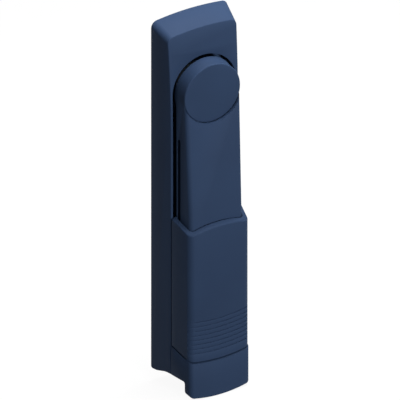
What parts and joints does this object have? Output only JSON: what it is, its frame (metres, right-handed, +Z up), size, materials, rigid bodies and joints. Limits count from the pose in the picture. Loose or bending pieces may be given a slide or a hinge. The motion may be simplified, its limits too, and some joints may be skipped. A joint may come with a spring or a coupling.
{
  "type": "swing handle lock",
  "caption": "Slim moulded swing handle for a cabinet door, with a lift-out lever, a key lock and a dust cover that slides up the lever.",
  "frame": {"origin": "on the swing axis, in the plane of the door face that the housing sits on", "axes": "+Z up along the handle, -Y out of the door towards the user, +X to the right"},
  "size_m": [0.0412, 0.0523, 0.1922],
  "materials": {
    "housing": "satin moulded polyamide, dark navy",
    "lever": "satin moulded polyamide, dark navy",
    "cap": "satin moulded polyamide, dark navy",
    "cover": "satin moulded polyamide, dark navy",
    "rubber": "black moulded rubber",
    "brass": "turned brass",
    "bush": "natural acetal",
    "zinc": "die-cast zinc, plated",
    "steel": "zinc-plated steel",
    "spring_steel": "oiled spring steel",
    "plug": "nickel-plated brass"
  },
  "bodies": {
    "housing": {"base_housing": "housing", "base_gasket": "rubber", "threaded_inserts": "brass", "bearing_bush": "bush"},
    "spindle": {"spindle": "zinc", "spindle_seal": "rubber", "spindle_washer": "steel", "retaining_ring": "spring_steel"},
    "lever": {"lever": "lever", "disc_cap": "cap", "hinge_pin": "steel", "lock_barrel": "zinc", "barrel_screw": "steel", "bolt_keeper": "steel", "keeper_screws": "steel", "detent_ball": "steel", "detent_spring": "spring_steel"},
    "plug": {"key_plug": "plug", "plug_clip": "spring_steel", "wafers": "brass"},
    "bolt": {"lock_bolt": "steel"},
    "cover": {"sliding_cover": "cover"}
  },
  "joints": [
    {"name": "swing", "type": "hinge", "parent": "housing", "child": "spindle", "pos_m": [0, 0, 0], "axis": [0, 1, 0], "range_deg": [-90, 90]},
    {"name": "lift", "type": "hinge", "parent": "spindle", "child": "lever", "pos_m": [0, -0.016, 0], "axis": [-1, 0, 0], "range_deg": [0, 30]},
    {"name": "key_turn", "type": "hinge", "parent": "lever", "child": "plug", "pos_m": [0, -0.022, -0.112], "axis": [0, 1, 0], "range_deg": [0, 180]},
    {"name": "bolt_slide", "type": "slide", "parent": "lever", "child": "bolt", "axis": [0, 0, -1], "range_m": [0, 0.006]},
    {"name": "cover_slide", "type": "slide", "parent": "lever", "child": "cover", "axis": [0, 0, 1], "range_m": [0, 0.044]}
  ],
  "couplings": [
    {"joint": "key_turn", "follows": "bolt_slide", "rad_per_m": 523.6}
  ]
}
